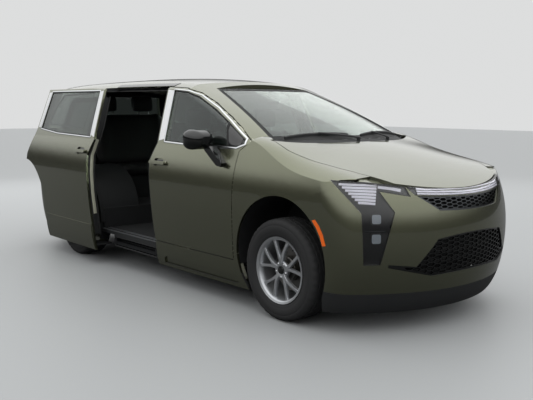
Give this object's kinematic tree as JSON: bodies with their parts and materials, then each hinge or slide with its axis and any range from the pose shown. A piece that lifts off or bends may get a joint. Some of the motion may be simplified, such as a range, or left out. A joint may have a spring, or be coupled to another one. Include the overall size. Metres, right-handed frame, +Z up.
{
  "type": "wheelchair accessible minivan",
  "caption": "Side-entry lowered-floor minivan with an in-floor ramp, open right sliding door, hinged doors, bonnet and tailgate, steering front wheels and rolling wheels.",
  "frame": {"origin": "on the ground under the middle of the vehicle's length and width", "axes": "+X to the front, +Y to the left, +Z up"},
  "size_m": [5.1774, 2.3, 1.7852],
  "materials": {
    "olive_paint": "metallic gloss",
    "black_plastic": "matte",
    "gloss_black": "gloss",
    "lamp_lens": "clear",
    "red_lens": "gloss",
    "window_glass": "tinted",
    "screen_glass": "clear",
    "rubber": "matte",
    "alloy": "satin",
    "cast_steel": "rough",
    "floor_black": "matte",
    "upholstery": "matte",
    "brushed": "brushed"
  },
  "bodies": {
    "root": {"body_side_left": "olive_paint", "body_side_right": "olive_paint", "cowl": "black_plastic", "dashboard": "black_plastic", "door_arms": "cast_steel", "engine_block": "cast_steel", "fenders": "olive_paint", "floor_pan": "floor_black", "front_bumper": "olive_paint", "front_lamps": "lamp_lens", "front_seats": "upholstery", "front_subframe": "cast_steel", "front_valance": "black_plastic", "grilles": "gloss_black", "ramp_cassette": "cast_steel", "rear_axle": "cast_steel", "rear_bench": "upholstery", "rear_bumper": "olive_paint", "roof_panel": "olive_paint", "side_glass": "window_glass", "sill_skirts": "olive_paint", "sliding_door_left": "olive_paint", "sliding_door_right": "olive_paint", "steering_column": "black_plastic", "tail_lamps": "red_lens", "underbody": "cast_steel", "wheel_liners": "black_plastic", "windscreen": "screen_glass", "wipers": "black_plastic"},
    "front_door_right": {"front_door_right": "olive_paint", "front_door_glass_right": "window_glass", "mirror_right": "gloss_black"},
    "front_door_left": {"front_door_left": "olive_paint", "front_door_glass_left": "window_glass", "mirror_left": "gloss_black"},
    "bonnet": {"bonnet": "olive_paint"},
    "tailgate": {"tailgate": "olive_paint", "tailgate_glass": "window_glass", "tailgate_lamps": "red_lens"},
    "ramp": {"ramp": "brushed"},
    "steering_wheel": {"steering_wheel": "upholstery"},
    "knuckle_right": {"knuckle_right": "cast_steel"},
    "knuckle_left": {"knuckle_left": "cast_steel"},
    "wheel_front_right": {"tyre_front_right": "rubber", "wheel_front_right": "alloy"},
    "wheel_front_left": {"tyre_front_left": "rubber", "wheel_front_left": "alloy"},
    "wheel_rear_right": {"tyre_rear_right": "rubber", "wheel_rear_right": "alloy"},
    "wheel_rear_left": {"tyre_rear_left": "rubber", "wheel_rear_left": "alloy"}
  },
  "joints": [
    {"name": "front_door_right_swing", "type": "hinge", "parent": "root", "child": "front_door_right", "pos_m": [1.08, -0.99, 0.9], "axis": [0, 0, 1], "range_deg": [0, 65]},
    {"name": "front_door_left_swing", "type": "hinge", "parent": "root", "child": "front_door_left", "pos_m": [1.08, 0.99, 0.9], "axis": [0, 0, -1], "range_deg": [0, 65]},
    {"name": "bonnet_lift", "type": "hinge", "parent": "root", "child": "bonnet", "pos_m": [1.345, 0, 1.24], "axis": [0, -1, 0], "range_deg": [0, 48]},
    {"name": "tailgate_lift", "type": "hinge", "parent": "root", "child": "tailgate", "pos_m": [-2.2745, 0, 1.739], "axis": [0, 1, 0], "range_deg": [0, 85]},
    {"name": "ramp_slide", "type": "slide", "parent": "root", "child": "ramp", "axis": [0, -1, 0], "range_m": [0, 1.15]},
    {"name": "steer_right", "type": "hinge", "parent": "root", "child": "knuckle_right", "pos_m": [1.623, -0.765, 0.3685], "axis": [0, 0, 1], "range_deg": [-33, 33]},
    {"name": "steer_left", "type": "hinge", "parent": "root", "child": "knuckle_left", "pos_m": [1.623, 0.765, 0.3685], "axis": [0, 0, 1], "range_deg": [-33, 33]},
    {"name": "steering_wheel_turn", "type": "hinge", "parent": "root", "child": "steering_wheel", "pos_m": [0.64, 0.385, 0.985], "axis": [-0.9135, 0, 0.4067], "range_deg": [-462, 462]},
    {"name": "wheel_front_right_spin", "type": "hinge", "parent": "knuckle_right", "child": "wheel_front_right", "pos_m": [1.623, -0.8675, 0.3685], "axis": [0, 1, 0], "continuous": true},
    {"name": "wheel_front_left_spin", "type": "hinge", "parent": "knuckle_left", "child": "wheel_front_left", "pos_m": [1.623, 0.8675, 0.3685], "axis": [0, 1, 0], "continuous": true},
    {"name": "wheel_rear_right_spin", "type": "hinge", "parent": "root", "child": "wheel_rear_right", "pos_m": [-1.466, -0.8675, 0.3685], "axis": [0, 1, 0], "continuous": true},
    {"name": "wheel_rear_left_spin", "type": "hinge", "parent": "root", "child": "wheel_rear_left", "pos_m": [-1.466, 0.8675, 0.3685], "axis": [0, 1, 0], "continuous": true}
  ],
  "couplings": [
    {"joint": "steer_left", "follows": "steer_right", "ratio": 1},
    {"joint": "steering_wheel_turn", "follows": "steer_right", "ratio": 14}
  ]
}
